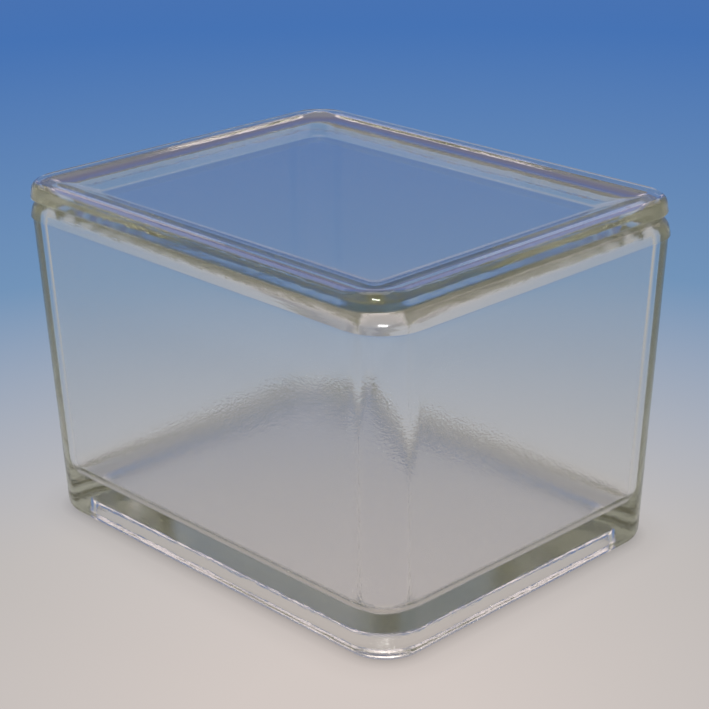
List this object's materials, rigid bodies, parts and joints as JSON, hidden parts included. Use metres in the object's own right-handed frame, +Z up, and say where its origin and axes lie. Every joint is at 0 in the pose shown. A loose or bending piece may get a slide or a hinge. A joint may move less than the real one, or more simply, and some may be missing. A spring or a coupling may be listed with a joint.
{
  "type": "slide staining jar",
  "caption": "Rectangular pressed-glass staining dish with drafted walls, a rim bead and a foot ring, closed by a loose glass cover with a recessed top.",
  "frame": {"origin": "centre of the jar's footprint, on the plane that the foot ring stands on", "axes": "+Z up through the cover, +X along the long side, +Y across it"},
  "size_m": [0.1048, 0.0842, 0.0716],
  "materials": {
    "dish_glass": "clear pressed soda-lime glass, faintly green, fire polished with a slight ripple",
    "cover_glass": "clear pressed soda-lime glass, faintly green, fire polished with a slight ripple"
  },
  "bodies": {
    "root": {"dish": "dish_glass", "cover": "cover_glass"}
  },
  "joints": []
}
